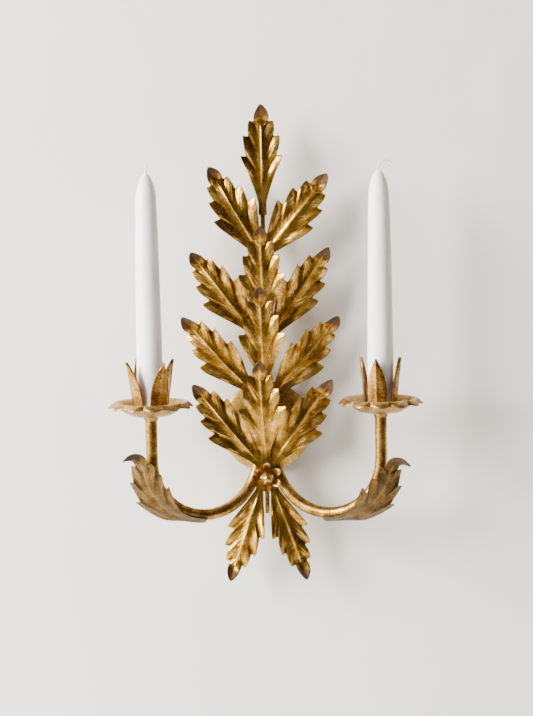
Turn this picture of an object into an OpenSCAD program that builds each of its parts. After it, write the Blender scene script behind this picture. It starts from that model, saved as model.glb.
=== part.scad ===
// Two-arm acanthus wall sconce with taper candles, millimetres, +Z up, front towards -Y.
// The origin is the entry hole of the hanging keyhole, on the wall plane y = 0.

/* [Spine and leaves] */
// Width and depth of the square spine bar
spine_w = 4; // [3:0.5:6]
// Distance from the wall to the back of the spine
spine_back = 20; // [16:1:26]
// Height of the spine's lower end above the origin
spine_low = -74; // [-90:1:-66]
// Height of the spine's upper end above the origin
spine_high = 206; // [200:1:220]
// Thickness of the stamped leaf sheet
sheet = 1; // [0.8:0.1:1.2]
// Half width of the widest leaf lobe
leaf_half_w = 20; // [16.6:0.2:21]
// Height of the raised midrib
rib_h = 1.1; // [0.6:0.1:1.6]
// Depth of the pleats between lobes
pleat_h = 1.6; // [0.8:0.1:2.4]
// How far the leaf's outer edges lift forward
edge_lift = 3.4; // [1:0.2:5]
// Length of the top leaf
top_leaf_l = 98; // [96:1:106]
// Length of the side leaves of the three lower tiers
side_leaf_l = 106; // [100:1:110]
// Length of the centre leaves
centre_leaf_l = 109; // [104:1:112]
// Forward lean of the side leaves in degrees
side_lean = 13; // [10:1:16]
// Forward lean of the centre leaves in degrees
centre_lean = 24; // [22:1:30]
// Height of the top leaf's stem above the origin
top_tier = 187; // [180:1:188]
// Height of the upper pair's stems
upper_tier = 150; // [146:0.5:156]
// Height of the second tier's stems
second_tier = 74.5; // [72:0.5:80]
// Height of the third tier's stems
third_tier = 22.5; // [20:0.5:28]
// Height of the lowest tier's stems
lowest_tier = -38.5; // [-40:0.5:-36]

/* [Backplate] */
// Outer radius of the domed backplate
plate_r = 40; // [34:1:44]
// Depth of the backplate's dome
plate_d = 11; // [9:1:13]
// Height of the backplate's straight lip
lip_h = 3; // [2:0.5:4]
// Wall thickness of the backplate
plate_t = 1; // [0.8:0.1:1.4]
// Radius of the spacer between backplate and spine
boss_r = 6; // [5:0.5:8]
// Thickness of the hanging strap
strap_t = 1.5; // [1.2:0.1:2]
// Width of the hanging strap
strap_w = 16; // [14:1:20]
// Radius of the keyhole's entry hole
key_r = 4.5; // [4:0.25:5]
// Width of the keyhole's slot
key_slot = 4.6; // [4:0.1:5]
// Height of the keyhole's slot end above the origin
key_rise = 9; // [8:0.5:12]

/* [Arms] */
// Outer radius of the arm tube
tube_r = 5; // [4:0.25:5.5]
// Inner radius of the arm tube
tube_bore = 3.5; // [2.5:0.25:3.75]
// Sideways distance from the spine's centre to each candle
reach_x = 97.5; // [92:0.5:104]
// Distance from the wall to the candles' axes
reach_y = 65; // [60:1:72]
// Bend radius of the arm's inner quarter
bend_in = 49.5; // [44:0.5:52]
// Height of the arms' inner ends
arm_root_z = -21.5; // [-24:0.5:-18]
// Height of the arms' upper ends, where the drip pans sit
arm_top_z = 19; // [12:0.5:22]
// Thickness of the cross plate that carries the arms
cross_t = 2.5; // [2:0.5:4]
// Gap between an arm leaf and its tube
leaf_gap = 0.15; // [0.1:0.05:0.3]
// How far the arm leaves are turned round their tubes towards the viewer, in degrees
leaf_roll = 36; // [0:2:44]

/* [Drip pans and cups] */
// Radius of the pan's crest
crest_r = 30; // [26:1:33]
// Radius of the scalloped edge
pan_r = 36; // [32:1:39]
// Height of the pan's crest above its underside
pan_h = 12; // [9:0.5:14]
// Sheet thickness of pans and cups
pan_t = 1; // [0.8:0.1:1.2]
// Number of scallops
scallops = 12; // [8:1:14]
// Height of a cup petal above the pan floor
petal_h = 46; // [40:1:50]
// Width of a cup petal at its widest
petal_w = 16.4; // [14:0.2:17]
// How far the left cup's petal tips stand from the axis
flare_left = 22; // [17:0.5:24]
// How far the right cup's petal tips stand from the axis
flare_right = 16; // [14.5:0.5:22]
// How far a petal's middle bows outward
petal_bow = 1.2; // [0.4:0.1:1.4]
// Gap between a candle's side and a cup petal
candle_gap = 0.6; // [0.4:0.1:1]

/* [Candles] */
// Radius of a candle's flat base
candle_r = 11.1; // [10:0.1:11.5]
// Radius of a candle's shoulder under the tip
shoulder_r = 9.2; // [8:0.1:10]
// Length of a candle
candle_l = 203; // [180:1:215]
// Radius of the wick
wick_r = 0.9; // [0.7:0.1:1.2]

/* [Rosette] */
// Radius of the rosette's petal tips
rosette_r = 13.5; // [11:0.5:15]
// Radius of the bud nut
bud_r = 7.8; // [6:0.2:9]
// Radius of the threaded stud
stud_r = 1.5; // [1.25:0.25:1.75]

/* [Hidden] */
$fn = 64;
gilt = [0.72, 0.54, 0.22];
dark_gilt = [0.5, 0.36, 0.15];
wax = [0.94, 0.95, 0.93];
cotton = [0.97, 0.96, 0.94];
spine_front = spine_back + spine_w;
tube_y = spine_front - 1.2 - tube_r;
tube_x = spine_w / 2 + tube_r + 0.3;
span_x = reach_x - tube_x;
span_y = reach_y - tube_y;
span = sqrt(span_x * span_x + span_y * span_y);
swing = atan2(span_y, span_x);
bend_out = span - bend_in;
arm_low_z = arm_root_z - bend_in;
dome_rho = (plate_r * plate_r + (plate_d - lip_h) * (plate_d - lip_h)) / (2 * (plate_d - lip_h));
cup_floor_z = arm_top_z + pan_t;
candle_z = cup_floor_z + pan_t;
candle_top = candle_z + candle_l;
petal_d = candle_r + candle_gap;
rosette_y = spine_front + 3 * sheet;
rosette_z = lowest_tier - 2.7;
blank_l = 100;

// The stamped leaf blank: distance from the stem's end, half width, pleat (+ ridge, - valley).
blank = [[0, 3.6, 0], [6, 3.7, 0], [12, 4.6, 0], [16.5, 6.6, 0], [22, 9.8, 0.2], [28, 14.2, 0.5],
  [33, 17.2, 0.8], [38, 19.2, 1], [42, 20, 0.2], [45.5, 14, -1], [50, 14.9, 0.1],
  [55, 15.8, 1], [58.5, 16, 0.8], [60.9, 15.6, 0.1], [63.6, 11, -1], [67, 11.3, 0.7],
  [71, 11.2, 0.6], [77, 10.1, 0.1], [79.7, 6.4, -0.8], [84, 6.5, 0], [90, 6.2, 0],
  [95, 4.7, 0], [98.4, 2.6, 0], [100, 0.6, 0]];

function ease(t) = let (c = max(0, min(1, t))) c * c * (3 - 2 * c);

// Pitch of the midrib at distance a: flat stem, forward lean, a steady bend that starts 6 mm past
// the stem, curled tongue.
function pitch(a, shape) =
  shape[1] * ease((a - shape[0]) / 16) + shape[2] * max(0, a - shape[0] - 6) / (94 - shape[0])
    + shape[3] * ease((a - 76) / 22);

function row_at(i, extra) = blank[i][0] + (i > 1 ? extra : i == 1 ? min(0, extra) / 2 : 0);

// Running position of the midrib as [forward, along].
function midrib(shape, extra) = [for (i = 0, p = [0, 0]; i < len(blank);
  p = i < len(blank) - 1
    ? let (d = row_at(i + 1, extra) - row_at(i, extra),
           q = pitch((blank[i][0] + blank[i + 1][0]) / 2, shape)) p + d * [sin(q), cos(q)]
    : p,
  i = i + 1) p];

function slant(a) = 0.6 * ease((a - 2) / 30) * (1 - ease((a - 76) / 14));

function across(j, w) = let (m = abs(j), foot = min(1.8, 0.3 * w),
  v = m == 0 ? 0 : m == 1 ? foot : foot + (w - foot) * (m - 1) / 3) j < 0 ? -v : v;

function relief(a, x, w, p, ribbed, flat) = let (m = abs(x))
  (m < 0.1 ? rib_h * ribbed * ease((a - min(flat + 4, 11)) / 16) : 0)
    + ease((a - flat - 2) / 16) * (edge_lift * pow(m / leaf_half_w, 2)
    - 0.9 * sin(180 * min(1, m / 9)) + pleat_h * p * (m < 2 ? 0 : m / w));

// A leaf standing on its stem end at the origin, growing along +Z, its face towards -Y.
// shape = [flat stem length, lean, bend, curl]; extra lengthens the stem. A twist turns the blade
// round its midrib past the stem, or the whole leaf round a line standing off its face.
module leaf(shape, extra, twist, ribbed = 1, slim = 0, wide = 1, off_face = 0) {
  n = len(blank);
  mid = midrib(shape, extra);
  side = [for (f = [0, 1], i = [0 : n - 1], j = [-4 : 4])
    let (a = blank[i][0],
         waist = 1 - slim * ease((50 - a) / 22) * ease(a / 14),
         w = blank[i][1] * leaf_half_w / 20 * waist * (a > 12 ? wide : 1),
         u = across(j, w),
         q = pitch(a, shape),
         s = slant(a) * abs(u),
         r = off_face > 0 ? twist : twist * ease((a - shape[0] - 4) / 32),
         v = relief(a, u, w, blank[i][2], ribbed, shape[0]) + f * sheet - off_face,
         x = u * cos(r) - v * sin(r),
         h = off_face + u * sin(r) + v * cos(r))
    [x, -(mid[i][0] + s * sin(q) + h * cos(q)), mid[i][1] + s * cos(q) - h * sin(q)]];
  back = [for (i = [0 : n - 2], j = [0 : 7]) let (k = i * 9 + j)
    each [[k, k + 1, k + 10], [k, k + 10, k + 9]]];
  m = n * 9;
  front = [for (i = [0 : n - 2], j = [0 : 7]) let (k = m + i * 9 + j)
    each [[k, k + 10, k + 1], [k, k + 9, k + 10]]];
  left = [for (i = [0 : n - 2]) let (k = i * 9)
    each [[k, k + 9, k + 9 + m], [k, k + 9 + m, k + m]]];
  right = [for (i = [0 : n - 2]) let (k = i * 9 + 8)
    each [[k, k + 9 + m, k + 9], [k, k + m, k + 9 + m]]];
  foot = [for (j = [0 : 7]) each [[j, j + 1 + m, j + 1], [j, j + m, j + 1 + m]]];
  tip = [for (j = [0 : 7]) let (k = (n - 1) * 9 + j)
    each [[k, k + 1, k + 1 + m], [k, k + 1 + m, k + m]]];
  polyhedron(points = side, faces = concat(back, front, left, right, foot, tip), convexity = 6);
}

// A leaf brazed to the spine: place of the stem end, turn from upright, layer in the stack.
module spine_leaf(z, turn, layer, shape, length, twist = 0, slim = 0, wide = 1, off = 0) {
  color(gilt) translate([off, -spine_front - layer * sheet, z]) rotate([0, turn, 0])
    leaf(shape, length - blank_l, twist, 1, slim, wide);
}

module side_leaf(z, turn, layer, trim, twist, curl) {
  spine_leaf(z, turn, layer, [9, side_lean, -36, curl + 36], side_leaf_l + trim, twist);
}

module centre_leaf(z, turn) {
  spine_leaf(z, turn, 2, [6, centre_lean, -26, 56], centre_leaf_l);
}

module backplate() {
  color(gilt) rotate([90, 0, 0]) difference() {
    intersection() {
      cylinder(r = plate_r, h = plate_d + 1);
      translate([0, 0, plate_d - dome_rho]) sphere(r = dome_rho, $fn = 160);
    }
    intersection() {
      translate([0, 0, -1]) cylinder(r = plate_r - plate_t, h = plate_d + 2);
      translate([0, 0, plate_d - dome_rho]) sphere(r = dome_rho - plate_t, $fn = 160);
    }
  }
}

module hanging_strap() {
  color(dark_gilt) rotate([90, 0, 0]) difference() {
    intersection() {
      translate([-strap_w / 2, -plate_r, 0]) cube([strap_w, 2 * plate_r, strap_t]);
      cylinder(r = plate_r - plate_t, h = strap_t);
    }
    translate([0, 0, -1]) cylinder(r = key_r, h = strap_t + 2);
    translate([0, key_rise, -1]) cylinder(r = key_slot / 2, h = strap_t + 2);
    translate([-key_slot / 2, 0, -1]) cube([key_slot, key_rise, strap_t + 2]);
  }
}

module backplate_spacer() {
  color(dark_gilt) rotate([90, 0, 0]) difference() {
    translate([0, 0, plate_d - 2]) cylinder(r = boss_r, h = spine_back - plate_d + 2);
    translate([0, 0, plate_d - dome_rho]) sphere(r = dome_rho, $fn = 160);
  }
}

module spine() {
  color(gilt) translate([-spine_w / 2, -spine_front, spine_low])
    cube([spine_w, spine_w, spine_high - spine_low]);
}

// The flat plate under which both arm tubes are brazed, notched over the back of the spine.
module cross_plate() {
  half = tube_x + tube_r;
  color(dark_gilt) translate([0, -tube_y, arm_root_z]) difference() {
    translate([-half, 1 - tube_r, 0]) cube([2 * half, 2 * tube_r - 1.5, cross_t]);
    translate([-spine_w / 2, -spine_front + tube_y, -1]) cube([spine_w, spine_w, cross_t + 2]);
  }
}

module top_leaf() {
  spine_leaf(top_tier, -0.3, 0, [20, 12, -24, 60], top_leaf_l, -8, 0.28);
}

module upper_side_leaf_left() {
  side_leaf(upper_tier - 1.4, -30, 0, -10, -6, 31);
}

module upper_side_leaf_right() {
  side_leaf(upper_tier + 1.9, 38.8, 1, -14, 0, 27);
}

module centre_leaf_upper() {
  centre_leaf(second_tier + 1.2, -1.6);
}

module second_side_leaf_left() {
  side_leaf(second_tier - 1.1, -37.3, 0, 1.8, 12, 38);
}

module second_side_leaf_right() {
  side_leaf(second_tier - 0.5, 33.5, 1, -2, -22, 25);
}

module centre_leaf_middle() {
  centre_leaf(third_tier + 1.9, -2.4);
}

module third_side_leaf_left() {
  side_leaf(third_tier - 2.1, -41.8, 0, 4, 22, 28);
}

module third_side_leaf_right() {
  side_leaf(third_tier + 0.3, 40, 1, -3, -26, 34);
}

module centre_leaf_lower() {
  centre_leaf(lowest_tier - 1, -3);
}

module fourth_side_leaf_left() {
  side_leaf(lowest_tier + 1.5, -39.2, 0, -4, 6, 16);
}

module fourth_side_leaf_right() {
  side_leaf(lowest_tier + 2, 35.7, 1, -5, -14, 22);
}

module bottom_leaf_left() {
  spine_leaf(lowest_tier - 6, -161.4, 0, [8, 15, -36, 70], side_leaf_l - 10, -12, 0.15, 0.9, -3.7);
}

module bottom_leaf_right() {
  spine_leaf(lowest_tier - 6.6, 161, 0, [8, 15, -36, 68], side_leaf_l - 11, 20, 0.15, 0.9, 3.7);
}

// Six stamped petals round a flat centre, tips lifting forward.
module rosette() {
  seg = 36;
  ring = [[5, 0, 0], [8, 0, 1.2], [10.5, 0.6, 2.8], [rosette_r, 1, 4.6]];
  pts = [for (f = [0, 1], r = ring, i = [0 : seg - 1])
    let (t = i * 360 / seg, c = abs(cos(3 * t)),
         d = r[0] - r[1] * (rosette_r - 8.2) * (1 - c))
    [d * sin(t), d * cos(t), r[2] * (0.6 + 0.4 * c) + f * sheet]];
  m = len(ring) * seg;
  function q(a, b, c, d) = [[a, b, c], [a, c, d]];
  under = [for (r = [0 : len(ring) - 2], i = [0 : seg - 1])
    let (k = r * seg, j = (i + 1) % seg)
    each q(k + i, k + j, k + seg + j, k + seg + i)];
  over = [for (t = under) [t[0] + m, t[2] + m, t[1] + m]];
  rim = [for (i = [0 : seg - 1]) let (k = (len(ring) - 1) * seg, j = (i + 1) % seg)
    each q(k + i, k + j, k + j + m, k + i + m)];
  core = [[for (i = [0 : seg - 1]) seg - 1 - i], [for (i = [0 : seg - 1]) m + i]];
  color(gilt) translate([0, -rosette_y, rosette_z]) rotate([90, 0, 0]) difference() {
    polyhedron(points = pts, faces = concat(under, over, rim, core), convexity = 6);
    translate([0, 0, -1]) cylinder(r = stud_r + 0.2, h = sheet + 2);
  }
}

// A blind nut shaped like a bud, screwed over the stud.
module bud_nut() {
  base = rosette_y + sheet;
  color(gilt) translate([0, -base, rosette_z]) rotate([90, 0, 0]) difference() {
    union() {
      cylinder(r = 4.6, h = 2.5);
      translate([0, 0, 2.4]) intersection() {
        cylinder(r = bud_r, h = 8);
        scale([1, 1, 0.9]) sphere(r = bud_r);
      }
    }
    translate([0, 0, -1]) cylinder(r = stud_r + 0.1, h = 7);
  }
}

module rosette_stud() {
  color(dark_gilt) translate([0, -spine_front, rosette_z]) rotate([90, 0, 0])
    cylinder(r = stud_r, h = 3 * sheet + sheet + 5.5);
}

// A bent tube in the plane of the arm: two quarter bends and a straight riser.
module arm() {
  module run(r) {
    translate([bend_in, 0, arm_root_z]) rotate([90, 0, 0]) rotate([0, 0, 180])
      rotate_extrude(angle = 90, $fn = 96) translate([bend_in, 0]) circle(r = r, $fn = 40);
    translate([bend_in, 0, arm_low_z + bend_out]) rotate([90, 0, 0]) rotate([0, 0, 270])
      rotate_extrude(angle = 90, $fn = 96) translate([bend_out, 0]) circle(r = r, $fn = 40);
    translate([span, 0, arm_low_z + bend_out])
      cylinder(r = r, h = arm_top_z - arm_low_z - bend_out, $fn = 40);
  }
  difference() {
    run(tube_r);
    run(tube_bore);
  }
}

module arm_right() {
  color(gilt) translate([tube_x, -tube_y, 0]) rotate([0, 0, -swing]) arm();
}

module arm_left() {
  color(gilt) mirror([1, 0, 0]) translate([tube_x, -tube_y, 0]) rotate([0, 0, -swing]) arm();
}

// The leaf that cradles the outside of the bend and hooks outward at its tip. Its stem starts
// at an angle before the bend's lowest point.
module arm_leaf(start) {
  radius = bend_out + tube_r + leaf_gap + sheet;
  turn = blank_l / radius * 180 / PI;
  translate([bend_in, 0, arm_low_z + bend_out]) rotate([0, start, 0]) translate([0, 0, -radius])
    rotate([-90, 0, -90]) leaf([-6, 0, turn, -110], 6, leaf_roll, 0, 0, 1, tube_r + leaf_gap + sheet);
}

module arm_leaf_right() {
  color(dark_gilt) translate([tube_x, -tube_y, 0]) rotate([0, 0, -swing]) arm_leaf(1.5);
}

module arm_leaf_left() {
  color(dark_gilt) mirror([1, 0, 0]) translate([tube_x, -tube_y, 0]) rotate([0, 0, -swing])
    arm_leaf(-4);
}

module at_candles() {
  for (s = [-1, 1]) translate([s * reach_x, -reach_y, 0]) children();
}

module pan_collars() {
  color(gilt) at_candles() difference() {
    translate([0, 0, arm_top_z - 4]) cylinder(r1 = tube_r + 0.6, r2 = tube_r + 1.8, h = 4);
    translate([0, 0, arm_top_z - 5]) cylinder(r = tube_r + 0.05, h = 6);
  }
}

module tube_inserts() {
  color(dark_gilt) at_candles() translate([0, 0, arm_top_z - 12]) difference() {
    cylinder(r = tube_bore - 0.05, h = 12);
    translate([0, 0, -1]) cylinder(r = 2.05, h = 14);
  }
}

module cup_screws() {
  color(dark_gilt) at_candles() union() {
    translate([0, 0, arm_top_z - 10]) cylinder(r = 2, h = 10 + pan_t);
    translate([0, 0, arm_top_z]) cylinder(r1 = 2, r2 = 2 + 2 * pan_t, h = 2 * pan_t);
  }
}

module screw_seat() {
  translate([0, 0, arm_top_z - 0.02]) cylinder(r1 = 1.98, r2 = 2.04 + 2 * pan_t, h = 2 * pan_t + 0.04);
}

// A shallow dish whose crest flares out into drooping scallops.
module drip_pan() {
  seg = scallops * 4;
  drop = 0.36 * pan_h;
  foot = petal_d + 2.1;
  deep = crest_r - foot;
  ring = [[foot, 0, 0], [foot + 0.3 * deep, 0.12, 0], [foot + 0.6 * deep, 0.38, 0],
    [foot + 0.84 * deep, 0.76, 0], [crest_r, 1, 0], [crest_r + 2.6, 0.97, 0.4], [pan_r, 0.76, 1]];
  rise = pan_h - pan_t;
  pts = [for (f = [0, 1], r = ring, i = [0 : seg - 1])
    let (t = i * 360 / seg, c = 0.5 + 0.5 * cos(scallops * t),
         d = r[0] - r[2] * 2.6 * (1 - c), z = r[1] * rise - r[2] * drop * 0.3 * c)
    [d * cos(t), d * sin(t), z + f * pan_t]];
  m = len(ring) * seg;
  function q(a, b, c, d) = [[a, b, c], [a, c, d]];
  under = [for (r = [0 : len(ring) - 2], i = [0 : seg - 1])
    let (k = r * seg, j = (i + 1) % seg)
    each q(k + j, k + i, k + seg + i, k + seg + j)];
  over = [for (t = under) [t[0] + m, t[2] + m, t[1] + m]];
  rim = [for (i = [0 : seg - 1]) let (k = (len(ring) - 1) * seg, j = (i + 1) % seg)
    each q(k + j, k + i, k + i + m, k + j + m)];
  core = [[for (i = [0 : seg - 1]) i], [for (i = [0 : seg - 1]) m + seg - 1 - i]];
  difference() {
    translate([0, 0, arm_top_z])
      polyhedron(points = pts, faces = concat(under, over, rim, core), convexity = 6);
    screw_seat();
  }
}

module drip_pan_left() {
  color(gilt) translate([-reach_x, -reach_y, 0]) rotate([0, 0, 8]) drip_pan();
}

module drip_pan_right() {
  color(gilt) translate([reach_x, -reach_y, 0]) rotate([0, 0, -4]) drip_pan();
}

// One petal of the cup, bent up from the floor, standing towards -Y.
module petal(tip) {
  rows = [[0, 0.8], [0.1, 0.9], [0.25, 0.98], [0.4, 1], [0.55, 0.93], [0.7, 0.74], [0.84, 0.45],
    [0.94, 0.2], [1, 0.04]];
  n = len(rows);
  pts = [for (f = [0, 1], i = [0 : n - 1], j = [-2 : 2])
    let (h = rows[i][0], w = rows[i][1] * petal_w / 2, x = j * w / 2,
         lean = (tip - petal_d) * pow(h, 1.7),
         bow = h > 0.05 ? petal_bow * (1 - j * j / 4) : 0,
         d = petal_d + lean + bow + f * pan_t)
    [x, -d, h * petal_h]];
  m = n * 5;
  function q(a, b, c, d) = [[a, b, c], [a, c, d]];
  inner = [for (i = [0 : n - 2], j = [0 : 3]) let (k = i * 5 + j) each q(k, k + 1, k + 6, k + 5)];
  outer = [for (t = inner) [t[0] + m, t[2] + m, t[1] + m]];
  left = [for (i = [0 : n - 2]) let (k = i * 5) each q(k, k + 5, k + 5 + m, k + m)];
  right = [for (i = [0 : n - 2]) let (k = i * 5 + 4) each q(k, k + m, k + 5 + m, k + 5)];
  foot = [for (j = [0 : 3]) each q(j, j + m, j + 1 + m, j + 1)];
  top = [for (j = [0 : 3]) let (k = (n - 1) * 5 + j) each q(k, k + 1, k + 1 + m, k + m)];
  polyhedron(points = pts, faces = concat(inner, outer, left, right, foot, top), convexity = 4);
}

module petal_cup(tip) {
  difference() {
    union() {
      translate([0, 0, cup_floor_z]) cylinder(r = petal_d + 0.5, h = pan_t);
      for (a = [0 : 90 : 270]) rotate([0, 0, a]) translate([0, 0, cup_floor_z]) petal(tip);
    }
    screw_seat();
  }
}

module petal_cup_left() {
  color(gilt) translate([-reach_x, -reach_y, 0]) rotate([0, 0, -55]) petal_cup(flare_left);
}

module petal_cup_right() {
  color(gilt) translate([reach_x, -reach_y, 0]) rotate([0, 0, -17]) petal_cup(flare_right);
}

module candle() {
  profile = [[wick_r, 0], [candle_r - 0.6, 0], [candle_r, 0.6], [candle_r, 40],
    [candle_r - 0.5, 100], [shoulder_r + 0.5, 150], [shoulder_r, candle_l - 18],
    [shoulder_r - 1.2, candle_l - 12], [shoulder_r - 3.4, candle_l - 6.5],
    [shoulder_r - 6, candle_l - 2], [wick_r + 0.9, candle_l], [wick_r, candle_l]];
  color(wax) translate([0, 0, candle_z]) rotate_extrude() polygon(profile);
}

module candle_left() {
  translate([-reach_x, -reach_y, 0]) candle();
}

module candle_right() {
  translate([reach_x, -reach_y, 0]) candle();
}

// A wick through the candle's whole length, its free end bent over.
module wick(rise, bend_r, angle) {
  r = wick_r - 0.05;
  color(cotton) union() {
    translate([0, 0, candle_z]) cylinder(r = r, h = candle_l + rise + 0.3, $fn = 24);
    translate([bend_r, 0, candle_top + rise]) rotate([90, 0, 0]) rotate([0, 0, 180 - angle])
      rotate_extrude(angle = angle, $fn = 48) translate([bend_r, 0]) circle(r = r - 0.05, $fn = 24);
  }
}

module wick_left() {
  translate([-reach_x, -reach_y, 0]) wick(4, 3, 50);
}

module wick_right() {
  translate([reach_x, -reach_y, 0]) wick(1.5, 6, 150);
}

backplate();
hanging_strap();
backplate_spacer();
spine();
cross_plate();
top_leaf();
upper_side_leaf_left();
upper_side_leaf_right();
centre_leaf_upper();
second_side_leaf_left();
second_side_leaf_right();
centre_leaf_middle();
third_side_leaf_left();
third_side_leaf_right();
centre_leaf_lower();
fourth_side_leaf_left();
fourth_side_leaf_right();
bottom_leaf_left();
bottom_leaf_right();
rosette();
bud_nut();
rosette_stud();
arm_left();
arm_right();
arm_leaf_left();
arm_leaf_right();
pan_collars();
tube_inserts();
cup_screws();
drip_pan_left();
drip_pan_right();
petal_cup_left();
petal_cup_right();
candle_left();
candle_right();
wick_left();
wick_right();
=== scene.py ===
import math

import bmesh
import bpy
import numpy as np
from mathutils import Matrix, Vector


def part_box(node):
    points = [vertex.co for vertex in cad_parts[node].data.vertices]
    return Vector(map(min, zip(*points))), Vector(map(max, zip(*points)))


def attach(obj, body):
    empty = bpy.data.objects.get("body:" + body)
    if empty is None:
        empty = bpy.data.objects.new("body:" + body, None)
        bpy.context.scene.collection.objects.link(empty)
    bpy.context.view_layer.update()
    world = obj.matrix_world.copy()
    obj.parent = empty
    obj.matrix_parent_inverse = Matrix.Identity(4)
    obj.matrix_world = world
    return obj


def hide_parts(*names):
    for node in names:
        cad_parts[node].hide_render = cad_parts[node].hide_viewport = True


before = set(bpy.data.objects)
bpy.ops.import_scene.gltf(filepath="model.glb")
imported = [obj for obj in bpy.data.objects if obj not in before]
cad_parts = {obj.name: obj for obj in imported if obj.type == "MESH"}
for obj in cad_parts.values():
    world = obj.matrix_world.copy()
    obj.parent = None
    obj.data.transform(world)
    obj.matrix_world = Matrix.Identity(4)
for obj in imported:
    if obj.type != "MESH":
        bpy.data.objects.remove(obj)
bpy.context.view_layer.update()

# ---- Hanging strap, spacer and domed backplate -------------------------------------------------
# The canopy is spun from thin steel sheet and gilded outside. A plain steel strap with the keyhole
# is brazed inside its lip, and a turned spacer is brazed to the top of its dome.
MM = 0.001


def linear(hex_colour):
    """An sRGB hex colour as Blender's linear RGBA."""
    parts = [int(hex_colour[i:i + 2], 16) / 255 for i in (1, 3, 5)]
    return [p / 12.92 if p <= 0.04045 else ((p + 0.055) / 1.055) ** 2.4 for p in parts] + [1.0]


def add(tree, kind, inputs=None, **settings):
    """Adds a node with its settings, and sets or links its inputs."""
    node = tree.nodes.new(kind)
    for name, value in settings.items():
        setattr(node, name, value)
    for name, value in (inputs or {}).items():
        if isinstance(value, bpy.types.NodeSocket):
            tree.links.new(value, node.inputs[name])
        else:
            node.inputs[name].default_value = value
    return node


def new_material(name):
    """An empty node material, its tree and its object coordinates in metres."""
    material = bpy.data.materials.new(name)
    material.use_nodes = True
    material.node_tree.nodes.clear()
    place = add(material.node_tree, "ShaderNodeTexCoord").outputs["Object"]
    return material, material.node_tree, place


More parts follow.
